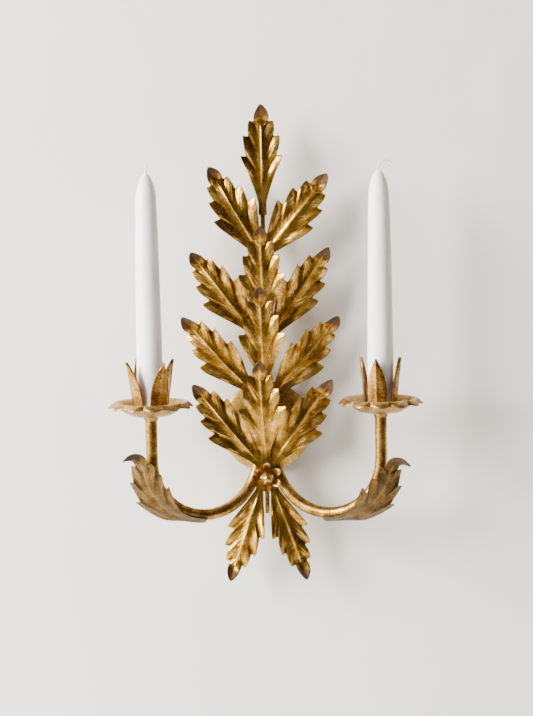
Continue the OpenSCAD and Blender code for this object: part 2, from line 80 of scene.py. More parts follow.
def antique_gilt(name, dark, mid, gold, pale, grime_and_shade, rough, streak=0.0, ground=0.0):
    """Gold leaf paint brushed over a red-brown ground on steel, then rubbed back and lacquered.

    It reads as mottled satin gold with brown showing through, dark pits, and brown at the edges.
    One attribute holds worn edges and tips together with painted shade in creases; another holds
    painted highlights on ridges and crests, lowered as painted shade in creases; the UV map grain
    holds the brush."""
    material, tree, place = new_material(name)
    # clouds of thick and thin paint about 9 mm across, and sponge marks about 1.5 mm across
    cloud = add(tree, "ShaderNodeTexNoise", {"Vector": place, "Scale": 110, "Detail": 4,
                                             "Roughness": 0.55}).outputs["Fac"]
    sponge = add(tree, "ShaderNodeTexNoise", {"Vector": place, "Scale": 680, "Detail": 4,
                                              "Roughness": 0.7}).outputs["Fac"]
    pits = add(tree, "ShaderNodeTexNoise", {"Vector": place, "Scale": 1500, "Detail": 2,
                                            "Roughness": 0.5}).outputs["Fac"]
    # brush marks a third of a millimetre apart that run out along the veins
    grain = add(tree, "ShaderNodeUVMap", uv_map="grain").outputs["UV"]
    brush = add(tree, "ShaderNodeTexNoise", {"Vector": grain, "Scale": 1, "Detail": 4,
                                             "Roughness": 0.65}).outputs["Fac"]
    wear_and_shade = add(tree, "ShaderNodeAttribute", attribute_name="wear_and_shade").outputs["Fac"]
    highlight_and_shade = add(tree, "ShaderNodeAttribute", attribute_name="highlight_and_shade").outputs["Fac"]
    # how thick the gold lies, from the marks above by their weights; the last term adds painted
    # highlights on ridges
    tone = -ground
    for mark, weight in ((cloud, 0.3), (sponge, 0.42 - 0.3 * streak),
                         (brush, 0.13 + 0.3 * streak), (highlight_and_shade, 0.07)):
        tone = add(tree, "ShaderNodeMath", {0: mark, 1: weight, 2: tone},
                   operation="MULTIPLY_ADD").outputs["Value"]
    bands = add(tree, "ShaderNodeValToRGB", {"Fac": tone})
    stops = ((0.32, dark), (0.385, mid), (0.45, gold), (0.56, pale))
    while len(bands.color_ramp.elements) < len(stops):
        bands.color_ramp.elements.new(0.5)
    for element, (thickness, shade) in zip(bands.color_ramp.elements, stops):
        element.position = thickness
        element.color = linear(shade)
    colour = bands.outputs["Color"]
    # the worn edges and tips, where the ground shows, and the painted shade in creases, broken up by
    # the sponge marks
    worn_and_shaded = add(tree, "ShaderNodeMath", {0: sponge, 1: 0.7, 2: wear_and_shade},
               operation="MULTIPLY_ADD").outputs["Value"]
    worn_and_shaded = add(tree, "ShaderNodeMapRange", {
        "Value": worn_and_shaded, "From Min": 0.72, "From Max": 1.15}).outputs["Result"]
    stain_and_shade = add(tree, "ShaderNodeMath", {0: worn_and_shaded, 1: 0.86}, operation="MULTIPLY").outputs["Value"]
    speck = add(tree, "ShaderNodeMapRange", {
        "Value": pits, "From Min": 0.66, "From Max": 0.74, "To Max": 0.75}).outputs["Result"]
    for amount in (stain_and_shade, speck):
        colour = add(tree, "ShaderNodeMix", {"Factor": amount, 6: colour, 7: linear(grime_and_shade)},
                     data_type="RGBA").outputs[2]
    # thin gold, bare edges and the painted shade in creases are duller and less metallic
    gloss = add(tree, "ShaderNodeMapRange", {
        "Value": tone, "From Min": 0.33, "From Max": 0.5, "To Min": rough + 0.12,
        "To Max": rough}).outputs["Result"]
    gloss = add(tree, "ShaderNodeMath", {0: worn_and_shaded, 1: 0.14, 2: gloss},
                operation="MULTIPLY_ADD").outputs["Value"]
    bare = add(tree, "ShaderNodeMath", {0: worn_and_shaded, 1: speck}, operation="ADD").outputs["Value"]
    metal = add(tree, "ShaderNodeMapRange", {
        "Value": bare, "To Min": 0.93, "To Max": 0.45}).outputs["Result"]
    hammer = add(tree, "ShaderNodeBump", {"Height": cloud, "Distance": 0.0009, "Strength": 0.3})
    paint = add(tree, "ShaderNodeMath", {0: sponge, 1: 0.6, 2: brush},
                operation="MULTIPLY_ADD").outputs["Value"]
    intact = add(tree, "ShaderNodeMath", {0: 1.0, 1: speck}, operation="SUBTRACT").outputs["Value"]
    skin = add(tree, "ShaderNodeBump", {"Height": paint, "Distance": 0.00016, "Strength": 0.5,
                                        "Normal": hammer.outputs["Normal"]})
    skin = add(tree, "ShaderNodeBump", {"Height": intact, "Distance": 0.0001, "Strength": 0.5,
                                        "Normal": skin.outputs["Normal"]})
    shader = add(tree, "ShaderNodeBsdfPrincipled", {
        "Base Color": colour, "Metallic": metal, "Roughness": gloss,
        "Coat Weight": 0.12, "Coat Roughness": 0.25, "Normal": skin.outputs["Normal"]})
    add(tree, "ShaderNodeOutputMaterial", {"Surface": shader.outputs["BSDF"]})
    return material


def new_piece(name, points, faces, material, smooth_angle=35, uv=None, attributes=None):
    """A mesh object at the origin from points in metres, with its faces smoothed."""
    mesh = bpy.data.meshes.new(name)
    mesh.from_pydata([tuple(p) for p in points], [], faces)
    for key, values in (attributes or {}).items():
        layer = mesh.attributes.new(key, "FLOAT", "POINT")
        layer.data.foreach_set("value", np.asarray(values, np.float32))
    if uv is not None:
        layer = mesh.uv_layers.new(name="grain")
        index = np.empty(len(mesh.loops), np.int32)
        mesh.loops.foreach_get("vertex_index", index)
        layer.data.foreach_set("uv", np.asarray(uv, np.float32)[index].ravel())
    mesh.shade_smooth()
    mesh.set_sharp_from_angle(angle=math.radians(smooth_angle))
    mesh.materials.append(material)
    piece = bpy.data.objects.new(name, mesh)
    bpy.context.scene.collection.objects.link(piece)
    return piece


def fix(piece, body, slot, *nodes):
    """Puts a finished piece on its body in place of its CAD nodes."""
    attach(piece, body)
    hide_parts(*nodes)
    return piece


def turned(profile, segments):
    """Points and faces of a closed shape turned round Z from a (radius, height) outline.

    The outline runs from the axis round to the axis again."""
    points, faces = [], []
    for r, z in profile[1:-1]:
        for i in range(segments):
            t = 2 * math.pi * i / segments
            points.append((r * math.cos(t), r * math.sin(t), z))
    rings = len(profile) - 2
    for k in range(rings - 1):
        for i in range(segments):
            j = (i + 1) % segments
            faces.append((k * segments + i, k * segments + j,
                          (k + 1) * segments + j, (k + 1) * segments + i))
    points.append((0, 0, profile[0][1]))
    points.append((0, 0, profile[-1][1]))
    first, last = len(points) - 2, len(points) - 1
    for i in range(segments):
        j = (i + 1) % segments
        faces.append((first, j, i))
        faces.append((last, (rings - 1) * segments + i, (rings - 1) * segments + j))
    return np.array(points), faces


def facing_out(piece):
    """Turns every face outwards."""
    bm = bmesh.new()
    bm.from_mesh(piece.data)
    bmesh.ops.recalc_face_normals(bm, faces=bm.faces)
    bm.to_mesh(piece.data)
    bm.free()
    return piece


low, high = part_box("backplate")
plate_r = (high.x - low.x) / 2
plate_d = high.y - low.y
lip_h = 3 * MM
sheet = 0.9 * MM
rho = (plate_r ** 2 + (plate_d - lip_h) ** 2) / (2 * (plate_d - lip_h))
outer = [(0, plate_d)]
for i in range(1, 29):
    r = plate_r * 0.985 * i / 28
    outer.append((r, plate_d - rho + math.sqrt(rho ** 2 - r ** 2)))
bead = []
for i in range(9):
    t = math.radians(100 - 190 * i / 8)
    bead.append((plate_r - 0.9 * MM + 0.9 * MM * math.cos(t), 1.1 * MM + 0.9 * MM * math.sin(t)))
outer += [(plate_r - 0.25 * MM, lip_h - 0.1 * MM), (plate_r - 0.55 * MM, lip_h - 0.9 * MM)] + bead
inner = [(r - sheet, z - sheet) for r, z in outer[1:29]]
inner = [(max(r, 0.4 * MM), z) for r, z in inner]
profile = outer + [(plate_r - 1.7 * MM, 0.4 * MM)] + [(plate_r - 1.7 * MM, 1.4 * MM)]
profile += inner[::-1] + [(0, plate_d - sheet)]
points, faces = turned(profile, 128)
points = np.stack([points[:, 0], -points[:, 2], points[:, 1]], 1)
radius = np.hypot(points[:, 0], points[:, 2])
canopy_gilt = antique_gilt("gilt_paint_spun_canopy", "#4a3212", "#93702c", "#c19d4e", "#dfc381",
                           "#33200c", 0.34)
backplate = new_piece("domed_backplate", points, faces, canopy_gilt, 50, attributes={
    "wear_and_shade": np.clip((radius / plate_r - 0.93) * 9, 0, 0.75), "highlight_and_shade": np.zeros(len(points))})
facing_out(backplate)
fix(backplate, "sconce", "gilt_dark", "backplate")

# plain mild steel, rolled and left bare, with a thin brown oxide
steel, tree, place = new_material("mild_steel_bare_rolled")
rolled = add(tree, "ShaderNodeMapping", {"Vector": place, "Scale": (900, 900, 60)})
scratch = add(tree, "ShaderNodeTexNoise", {"Vector": rolled.outputs["Vector"], "Scale": 1,
                                           "Detail": 4}).outputs["Fac"]
rust = add(tree, "ShaderNodeTexNoise", {"Vector": place, "Scale": 240, "Detail": 6,
                                        "Roughness": 0.7}).outputs["Fac"]
patch = add(tree, "ShaderNodeMapRange", {
    "Value": rust, "From Min": 0.5, "From Max": 0.68, "To Max": 0.8}).outputs["Result"]
colour = add(tree, "ShaderNodeMix", {"Factor": patch, 6: linear("#6f6c66"), 7: linear("#4a3322")},
             data_type="RGBA").outputs[2]
metal = add(tree, "ShaderNodeMapRange", {
    "Value": rust, "From Min": 0.5, "From Max": 0.7, "To Min": 1.0, "To Max": 0.4})
gloss = add(tree, "ShaderNodeMapRange", {
    "Value": scratch, "From Min": 0.3, "From Max": 0.7, "To Min": 0.32, "To Max": 0.55})
mark = add(tree, "ShaderNodeBump", {"Height": scratch, "Distance": 0.0001, "Strength": 0.4})
shader = add(tree, "ShaderNodeBsdfPrincipled", {
    "Base Color": colour, "Metallic": metal.outputs["Result"], "Roughness": gloss.outputs["Result"],
    "Normal": mark.outputs["Normal"]})
add(tree, "ShaderNodeOutputMaterial", {"Surface": shader.outputs["BSDF"]})


def paint_node(name, material):
    """Gives a CAD node that stays its detailed material."""
    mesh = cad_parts[name].data
    mesh.materials.clear()
    mesh.materials.append(material)


for name in ("hanging_strap", "backplate_spacer"):
    paint_node(name, steel)

# ---- Spine bar and cross plate -----------------------------------------------------------------
# A 4 mm square steel bar with its corners eased by a file carries every leaf. A small flat plate
# is threaded on it and brazed, and both arms hang from that plate.
tube_gilt = antique_gilt("gilt_paint_bar_and_tube", "#35200a", "#76531a", "#a88035", "#d8b86c",
                         "#2c1a0a", 0.3)
low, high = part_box("spine")
size = (high.x - low.x) / 2
ease = 0.7 * MM
ring = []
for sx, sy, start in ((1, 1, 0), (-1, 1, 90), (-1, -1, 180), (1, -1, 270)):
    for step in range(4):
        t = math.radians(start + step * 30)
        ring.append((sx * (size - ease) + ease * math.cos(t), sy * (size - ease) + ease * math.sin(t)))
middle = (low + high) / 2
points, faces = [], []
levels = [(low.z, 0.82), (low.z + 0.5 * MM, 1)]
levels += [(low.z + (high.z - low.z) * k / 30, 1) for k in range(1, 30)]
levels += [(high.z - 0.5 * MM, 1), (high.z, 0.82)]
for z, scale in levels:
    points += [(middle.x + x * scale, middle.y + y * scale, z) for x, y in ring]
for k in range(len(levels) - 1):
    for i in range(16):
        j = (i + 1) % 16
        faces.append((k * 16 + i, k * 16 + j, k * 16 + 16 + j, k * 16 + 16 + i))
faces.append(tuple(range(15, -1, -1)))
faces.append(tuple(len(points) - 16 + i for i in range(16)))
spine = new_piece("spine_bar", points, faces, tube_gilt, 50, attributes={
    "wear_and_shade": np.full(len(points), 0.25), "highlight_and_shade": np.zeros(len(points))})
fix(spine, "sconce", "gilt_dark", "spine")
paint_node("cross_plate", tube_gilt)

# ---- Stamped acanthus leaves -------------------------------------------------------------------
# One blank of thin steel is stamped with a midrib, pleated lobes and a tongue, then bent by hand
# and brazed to the spine by its stem. Gold leaf paint is rubbed back so brown shows at the edges.
LEAF_HALF_W = 20.0
RIB_H, PLEAT_H, EDGE_LIFT = 0.35, 1.3, 3.4
LEAF_SHEET = 0.85
# how much further forward each layer of stems lies, in mm
LAYER_STEP = 1.0
# distance from the stem's end and half width, in mm: three teeth a side and a tongue
OUTLINE = [(0, 3.3), (0.6, 3.7), (6, 3.7), (12, 4.6), (16.5, 6.6), (22, 9.8), (28, 14.2),
           (33, 17.2), (37, 19.0), (40, 19.9), (41.6, 20.1), (42.3, 19.8), (43.1, 18.4),
           (44.3, 15.4), (45.3, 13.9), (46.2, 14.0), (48.5, 14.6), (52, 15.4), (56, 15.95),
           (59, 16.05), (60.6, 15.8), (61.2, 15.3), (61.9, 13.4), (62.8, 11.6), (63.6, 10.9),
           (64.6, 11.0), (68, 11.4), (72, 11.35), (75, 10.9), (76.8, 10.3), (77.4, 9.6),
           (78.2, 7.9), (79.2, 6.5), (80.2, 6.2), (84, 6.5), (88, 6.5), (92, 5.8), (95, 4.6),
           (97.5, 3.1), (99, 1.8), (100, 0.5)]
# the notches between teeth, and how far out from the midrib they reach
NOTCHES = [24, 45.3, 63.6, 79.6, 101]
REACH = [(0, 3.6), (12, 4.6), (20, 8), (30, 12.6), (45.3, 13.9), (63.6, 10.9), (79.6, 6.4),
         (90, 6), (101, 2)]


def eased(t):
    t = np.clip(t, 0, 1)
    return t * t * (3 - 2 * t)


def leaf_points(flat, lean, bend, curl, length, twist, ribbed, slim, wide, seed, off_face=0.0):
    """The leaf's front and back grids in mm, growing along +Z with its face towards -Y."""
    extra = length - 100
    rows = np.unique(np.concatenate([
        np.linspace(0, 12, 7), np.linspace(12, 40, 29), np.linspace(40, 48, 33),
        np.linspace(48, 60, 23), np.linspace(60, 65.5, 23), np.linspace(65.5, 76, 21),
        np.linspace(76, 81.5, 23), np.linspace(81.5, 100, 38)]))
    columns = np.concatenate([[-1, -0.985, -0.955], np.linspace(-0.92, -0.12, 21),
                              [-0.085, -0.055, -0.028, 0]])
    columns = np.concatenate([columns, -columns[:-1][::-1]])
    a, u = np.meshgrid(rows, columns, indexing="ij")
    half = np.interp(a, *zip(*OUTLINE))
    half = half * (1 - slim * eased((50 - a) / 22) * eased(a / 14)) * np.where(a > 12, wide, 1)
    random = np.random.default_rng(seed)
    wave = sum(random.uniform(-1, 1) * np.sin(a / random.uniform(6, 16) + random.uniform(0, 6))
               for _ in range(4))
    # small differences between the teeth of one leaf and the next
    half = half * (1 + 0.014 * wave * (1 + 0.5 * np.sign(u)))
    x = u * half
    m = np.abs(x)
    # the veins run steeply inwards and down from the edge: each has one value of "vein"
    vein = a + 12.0
    for _ in range(40):
        reach = np.interp(vein, *zip(*REACH)) * (1 - slim * eased((50 - a) / 22))
        vein = 0.5 * vein + 0.5 * (a + 1.3 * np.clip(reach - m, 0, None))
    share = np.clip(m / reach, 0, 1.2)
    lobe = np.searchsorted(NOTCHES, vein) - 1
    lobe = np.clip(lobe, 0, 3)
    ends = np.array(NOTCHES)
    t = np.clip((vein - ends[lobe]) / (ends[lobe + 1] - ends[lobe]), 0, 1)
    arch = 1 - np.abs(2 * t - 1) ** 2.4
    arch = np.where((lobe == 0) & (t < 0.5), 0.5 + 0.5 * arch, arch)
    out = eased((share - 0.34) / 0.58)
    strength = np.array([0.9, 1.0, 0.9, 0.12])[lobe] * eased((a - 16) / 12)
    pleat = PLEAT_H * (2 * arch - 1.1) * out * strength
    valley = np.clip(1 - np.minimum(t, np.where(lobe == 0, 1, 1 - t)) / 0.1, 0, 1)
    valley = np.where((lobe == 0) & (t < 0.5), 0, valley) * eased((share - 0.15) / 0.4)
    fine = 0.07 * np.cos(t * 8 * np.pi) * eased((share - 0.1) / 0.3) * eased((a - 18) / 10)
    # flat stem, forward lean, steady bend back past the stem, curled tongue
    turn = np.radians(lean * eased((rows - flat) / 16)
                      + bend * np.clip(rows - flat - 6, 0, None) / (94 - flat)
                      + curl * eased((rows - 76) / 22))
    pitch = np.broadcast_to(turn[:, None], a.shape)
    along = np.interp(rows, [0, 6, 12, 100], [0, 6 + min(0, extra) / 2, 12 + extra, 100 + extra])
    middle = (turn[1:] + turn[:-1]) / 2
    step = np.diff(along)
    forward = np.concatenate([[0], np.cumsum(step * np.sin(middle))])[:, None]
    up = np.concatenate([[0], np.cumsum(step * np.cos(middle))])[:, None]
    slant = 0.6 * eased((a - 2) / 30) * (1 - eased((a - 76) / 14)) * m
    grow = eased((a - flat - 2) / 16)
    body = eased((half - 5) / 6)
    ridge = RIB_H * ribbed * grow * np.exp(-(m / 0.75) ** 2) * (1 - 0.5 * eased((a - 60) / 35))
    gull = -1.7 * body * np.sin(np.pi / 2 * np.clip(m / 9, 0, 1))
    gull = gull + EDGE_LIFT * (m / LEAF_HALF_W) ** 2
    tongue = 0.34 * m * eased((a - 80) / 7)
    hand = 0.25 * wave * np.abs(u) + 0.28 * np.sin(a / 9 + 2.5 * u + seed)
    rim = -0.3 * np.exp(-(half - m) / 0.6) * eased((a - 20) / 10)
    h = ridge + grow * (gull + pleat + tongue + fine + hand * 0.7 + rim)
    layers = []
    spin = np.radians(twist) * (1 if off_face else eased((a - flat - 4) / 32))
    for lift in (0.0, LEAF_SHEET):
        v = h + lift - off_face
        xx = x * np.cos(spin) - v * np.sin(spin)
        hh = off_face + x * np.sin(spin) + v * np.cos(spin)
        layers.append(np.stack([xx, -(forward + slant * np.sin(pitch) + hh * np.cos(pitch)),
                                up + slant * np.cos(pitch) - hh * np.sin(pitch)], -1))
    # worn edges; tips darker as patina together with painted shade on the curled tongue; painted shade
    # in the notches' creases; and darker at the stem's end and low along the midrib
    worn_and_shaded = np.exp(-((half - m) / 0.8)) * 0.62 + eased((a - 82) / 10) * 0.72
    worn_and_shaded = worn_and_shaded + 0.4 * valley + 0.35 * eased((8 - a) / 8) + 0.1 * (1 - out) * eased((30 - a) / 20)
    # a painted highlight along the midrib and the pleats' crests, lowered as painted shade in the
    # creases and at the tips
    highlight_and_shade = np.clip(0.8 * np.exp(-(m / 1.0) ** 2) + 0.6 * np.clip(2 * arch - 1, 0, 1) * out
                  - 0.7 * valley - 1.2 * eased((a - 82) / 8), -1, 1)
    grain = np.stack([m / 6 + seed * 3.7, vein / 0.33 + 50 * np.sign(u)], -1)
    return layers, worn_and_shaded, highlight_and_shade, grain


def leaf_mesh(layers, worn_and_shaded, highlight_and_shade, grain):
    """Joins the two grids with a rim and returns points, faces, attributes and UV."""
    rows, columns = worn_and_shaded.shape
    count = rows * columns
    points = np.concatenate([layers[0].reshape(-1, 3), layers[1].reshape(-1, 3)])
    index = np.arange(count).reshape(rows, columns)
    a, b, c, d = index[:-1, :-1], index[:-1, 1:], index[1:, 1:], index[1:, :-1]
    back = np.stack([a, d, c, b], -1).reshape(-1, 4)
    front = np.stack([a, b, c, d], -1).reshape(-1, 4) + count
    loop = np.concatenate([index[0, :], index[1:, -1], index[-1, -2::-1], index[-2:0:-1, 0]])
    after = np.roll(loop, -1)
    rim = np.stack([loop, after, after + count, loop + count], -1)
    faces = np.concatenate([back, front, rim]).tolist()
    attributes = {"wear_and_shade": np.tile(worn_and_shaded.ravel(), 2), "highlight_and_shade": np.tile(highlight_and_shade.ravel(), 2)}
    return points, faces, attributes, np.tile(grain.reshape(-1, 2), (2, 1))


leaf_gilt = antique_gilt("gilt_leaf_rubbed_back", "#38230a", "#76500f", "#a97c26", "#e3c478",
                         "#3e250c", 0.25, streak=0.6)
spine_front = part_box("spine")[0].y / MM
# name, height, turn, layer, flat, lean, bend, curl, length, twist, slim, wide, offset
LEAVES = [
    ("top_leaf", 187, -0.3, 0, 20, 12, -24, 60, 98, -8, 0.28, 1, 0),
    ("upper_side_leaf_left", 148.6, -30, 0, 9, 13, -36, 67, 96, -6, 0, 1, 0),
    ("upper_side_leaf_right", 151.9, 38.8, 1, 9, 13, -36, 63, 92, 0, 0, 1, 0),
    ("centre_leaf_upper", 75.7, -1.6, 2, 6, 24, -26, 56, 109, 0, 0, 1, 0),
    ("second_side_leaf_left", 73.4, -37.3, 0, 9, 13, -36, 74, 107.8, 12, 0, 1, 0),
    ("second_side_leaf_right", 74, 33.5, 1, 9, 13, -36, 61, 104, -22, 0, 1, 0),
    ("centre_leaf_middle", 24.4, -2.4, 2, 6, 24, -26, 56, 109, 0, 0, 1, 0),
    ("third_side_leaf_left", 20.4, -41.8, 0, 9, 13, -36, 64, 110, 22, 0, 1, 0),
    ("third_side_leaf_right", 22.8, 40, 1, 9, 13, -36, 70, 103, -26, 0, 1, 0),
    ("centre_leaf_lower", -39.5, -3, 2, 6, 24, -26, 56, 109, 0, 0, 1, 0),
    ("fourth_side_leaf_left", -37, -39.2, 0, 9, 13, -36, 52, 102, 6, 0, 1, 0),
    ("fourth_side_leaf_right", -36.5, 35.7, 1, 9, 13, -36, 58, 101, -14, 0, 1, 0),
    ("bottom_leaf_left", -44.5, -161.4, 0, 8, 15, -36, 70, 96, -12, 0.15, 0.9, -3.7),
    ("bottom_leaf_right", -45.1, 161, 0, 8, 15, -36, 68, 95, 20, 0.15, 0.9, 3.7),
]
for number, row in enumerate(LEAVES):
    node, z, turn, layer, flat, lean, bend, curl, length, twist, slim, wide, off = row
    points, faces, attributes, uv = leaf_mesh(*leaf_points(
        flat, lean, bend, curl, length, twist, 1, slim, wide, number))
    place = Matrix.Translation((off, spine_front - layer * LAYER_STEP, z)) @ Matrix.Rotation(
        math.radians(turn), 4, "Y")
    place = np.array(Matrix.Scale(MM, 4) @ place)
    points = points @ place[:3, :3].T + place[:3, 3]
    leaf = new_piece("stamped_" + node, points, faces, leaf_gilt, 40, uv, attributes)
    fix(leaf, "sconce", "gilt_leaf", node)

# ---- Arm tubes ---------------------------------------------------------------------------------
# Two lengths of 10 mm steel tube, each bent round a former into a deep U that swings forward and
# ends in a straight riser. They are brazed under the cross plate and gilded like the bar.
span_x = (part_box("candle_right")[0].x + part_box("candle_right")[1].x) / 2
span_y = (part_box("candle_right")[0].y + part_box("candle_right")[1].y) / 2
tube_r = 5 * MM
# where the right tube starts under the cross plate, and the radius of its inner bend
root = Vector((7.3 * MM, -17.8 * MM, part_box("cross_plate")[0].z))
bend_in = 49.5 * MM
reach = math.hypot(span_x - root.x, span_y - root.y)
bend_out = reach - bend_in
swing = math.atan2(span_y - root.y, span_x - root.x)
arm_low = root.z - bend_in
arm_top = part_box("arm_right")[1].z
path = []
for k in range(33):
    t = math.radians(90 * k / 32)
    path.append((bend_in * (1 - math.cos(t)), root.z - bend_in * math.sin(t)))
for k in range(1, 33):
    t = math.radians(90 * k / 32)
    path.append((bend_in + bend_out * math.sin(t), arm_low + bend_out * (1 - math.cos(t))))
for k in range(1, 7):
    riser = arm_low + bend_out
    path.append((reach, riser + (arm_top - riser) * k / 6))


def node_tree(name, sockets):
    """A Geometry Nodes tree with its geometry sockets and named inputs."""
    tree = bpy.data.node_groups.new(name, "GeometryNodeTree")
    tree.interface.new_socket("Geometry", in_out="INPUT", socket_type="NodeSocketGeometry")
    for label, kind, value in sockets:
        socket = tree.interface.new_socket(label, in_out="INPUT", socket_type=kind)
        if value is not None:
            socket.default_value = value
    tree.interface.new_socket("Geometry", in_out="OUTPUT", socket_type="NodeSocketGeometry")
    return tree, add(tree, "NodeGroupInput")


def close_tree(tree, given, geometry):
    """Ends a tree: makes its instances real and sets its material."""
    whole = add(tree, "GeometryNodeRealizeInstances", {"Geometry": geometry})
    coat = add(tree, "GeometryNodeSetMaterial", {
        "Geometry": whole.outputs["Geometry"], "Material": given.outputs["Material"]})
    add(tree, "NodeGroupOutput", {"Geometry": coat.outputs["Geometry"]})


def grown(name, source, tree, values):
    """Runs a Geometry Nodes tree on an object and returns the plain mesh piece it makes."""
    modifier = source.modifiers.new("nodes", "NODES")
    modifier.node_group = tree
    for item in tree.interface.items_tree:
        if item.item_type == "SOCKET" and item.in_out == "INPUT" and item.name in values:
            modifier[item.identifier] = values[item.name]
    bpy.context.view_layer.update()
    made = source.evaluated_get(bpy.context.evaluated_depsgraph_get())
    mesh = bpy.data.meshes.new_from_object(made)
    source.modifiers.remove(modifier)
    bpy.data.objects.remove(source)
    mesh.name = name
    piece = bpy.data.objects.new(name, mesh)
    bpy.context.scene.collection.objects.link(piece)
    return piece


tube_tree, given = node_tree("tube_along_path", [
    ("Radius", "NodeSocketFloat", 0.005), ("Material", "NodeSocketMaterial", None)])
circle = add(tube_tree, "GeometryNodeCurvePrimitiveCircle",
             {"Resolution": 40, "Radius": given.outputs["Radius"]})
sweep = add(tube_tree, "GeometryNodeCurveToMesh", {
    "Curve": given.outputs["Geometry"], "Profile Curve": circle.outputs["Curve"],
    "Fill Caps": True})
close_tree(tube_tree, given, sweep.outputs["Mesh"])


def path_object(name, points):
    """A poly curve object through the points."""
    curve = bpy.data.curves.new(name, "CURVE")
    curve.dimensions = "3D"
    spline = curve.splines.new("POLY")
    spline.points.add(len(points) - 1)
    for target, point in zip(spline.points, points):
        target.co = (*point, 1)
    source = bpy.data.objects.new(name, curve)
    bpy.context.scene.collection.objects.link(source)
    return source


def closed_and_smooth(piece, angle=40):
    """Merges doubles, turns faces outwards and smooths all but the sharp edges."""
    bm = bmesh.new()
    bm.from_mesh(piece.data)
    bmesh.ops.remove_doubles(bm, verts=bm.verts, dist=1e-6)
    bmesh.ops.recalc_face_normals(bm, faces=bm.faces)
    bm.to_mesh(piece.data)
    bm.free()
    piece.data.shade_smooth()
    piece.data.set_sharp_from_angle(angle=math.radians(angle))


for side, node in ((-1, "arm_left"), (1, "arm_right")):
    track = [(side * (root.x + s * math.cos(swing)), root.y + s * math.sin(swing), z)
             for s, z in path]
    arm = grown("bent_" + node, path_object("track", track), tube_tree,
                {"Radius": tube_r, "Material": tube_gilt})
    closed_and_smooth(arm)
    fix(arm, "sconce", "gilt_tube", node)

# ---- Arm leaves --------------------------------------------------------------------------------
# The same stamped blank, rolled the other way so that it cradles the outside of each bend, with
# its tongue hooked outwards. Its back faces out; that side has a thin, dull gold, darkened further as
# painted shade.
shaded_back_gilt = antique_gilt("gilt_thin_on_leaf_back_and_painted_shade", "#261809", "#45300f", "#5e461d", "#8a7044",
                         "#3a2814", 0.4, streak=0.5)
# how far the leaf rolls round the tube, and how far its sheet lies from the tube's middle, in mm
leaf_roll = 36
off_face = 6.15
cradle = bend_out / MM + off_face
# degrees that 100 mm of the leaf turns through when it lies along the bend
bend = math.degrees(100 / cradle)
# side, node and where round the bend the leaf starts, in degrees
for side, node, start in ((-1, "arm_leaf_left", -4), (1, "arm_leaf_right", 1.5)):
    points, faces, attributes, uv = leaf_mesh(*leaf_points(
        -6, 0, bend, -110, 106, leaf_roll, 0, 0, 1, 20 + side, off_face))
    lay = Matrix.Rotation(math.radians(-90), 4, "Z") @ Matrix.Rotation(math.radians(-90), 4, "X")
    place = Matrix.Translation(root * (1 / MM)) @ Matrix.Rotation(swing, 4, "Z")
    place = place @ Matrix.Translation((bend_in / MM, 0, (arm_low + bend_out - root.z) / MM))
    place = place @ Matrix.Rotation(math.radians(start), 4, "Y")
    place = place @ Matrix.Translation((0, 0, -cradle)) @ lay
    place = np.array(Matrix.Scale(MM, 4) @ place)
    points = points @ place[:3, :3].T + place[:3, 3]
    if side < 0:
        points = points * [-1, 1, 1]
    leaf = new_piece("stamped_" + node, points, faces, shaded_back_gilt, 40, uv, attributes)
    if side < 0:
        facing_out(leaf)
    fix(leaf, "sconce", "gilt_dark", node)

# ---- Collars, inserts and cup screws -----------------------------------------------------------
# A tapered collar is brazed round each tube's end. A threaded steel insert is pressed into the
# tube, and one countersunk screw clamps cup and pan down on it.
paint_node("pan_collars", tube_gilt)
for name in ("tube_inserts", "cup_screws", "rosette_stud"):
    paint_node(name, steel)

# ---- Drip pans ---------------------------------------------------------------------------------
# Shallow dishes pressed from one disc: a flat seat, a bowl, a rounded crest, and a rim cut and
# pressed into twelve scallops that droop. The crest has a painted highlight, the underside is dull.
pan_gilt = antique_gilt("gilt_paint_pressed_pan", "#452e10", "#83622d", "#a9864a", "#d6ba7e",
                        "#33200d", 0.34)
pan_tree, given = node_tree("scalloped_pan", [
    ("Scallops", "NodeSocketFloat", 12.0), ("Crest", "NodeSocketFloat", 0.03),
    ("Edge", "NodeSocketFloat", 0.036), ("Cut", "NodeSocketFloat", 0.0026),
    ("Droop", "NodeSocketFloat", 0.0015), ("Turn", "NodeSocketFloat", 0.0),
    ("Material", "NodeSocketMaterial", None)])
where = add(pan_tree, "GeometryNodeInputPosition").outputs["Position"]
part = add(pan_tree, "ShaderNodeSeparateXYZ", {"Vector": where})
level = add(pan_tree, "ShaderNodeCombineXYZ", {"X": part.outputs["X"], "Y": part.outputs["Y"]})
flat_r = add(pan_tree, "ShaderNodeVectorMath", {0: level.outputs["Vector"]},
             operation="LENGTH").outputs["Value"]
share = add(pan_tree, "ShaderNodeMapRange", {
    "Value": flat_r, "From Min": given.outputs["Crest"], "From Max": given.outputs["Edge"]},
    interpolation_type="SMOOTHSTEP").outputs["Result"]
value = {label: given.outputs[label] for label in ("Scallops", "Cut", "Droop", "Turn")}
value.update({label: part.outputs[label] for label in "XYZ"}, radius=flat_r, share=share)
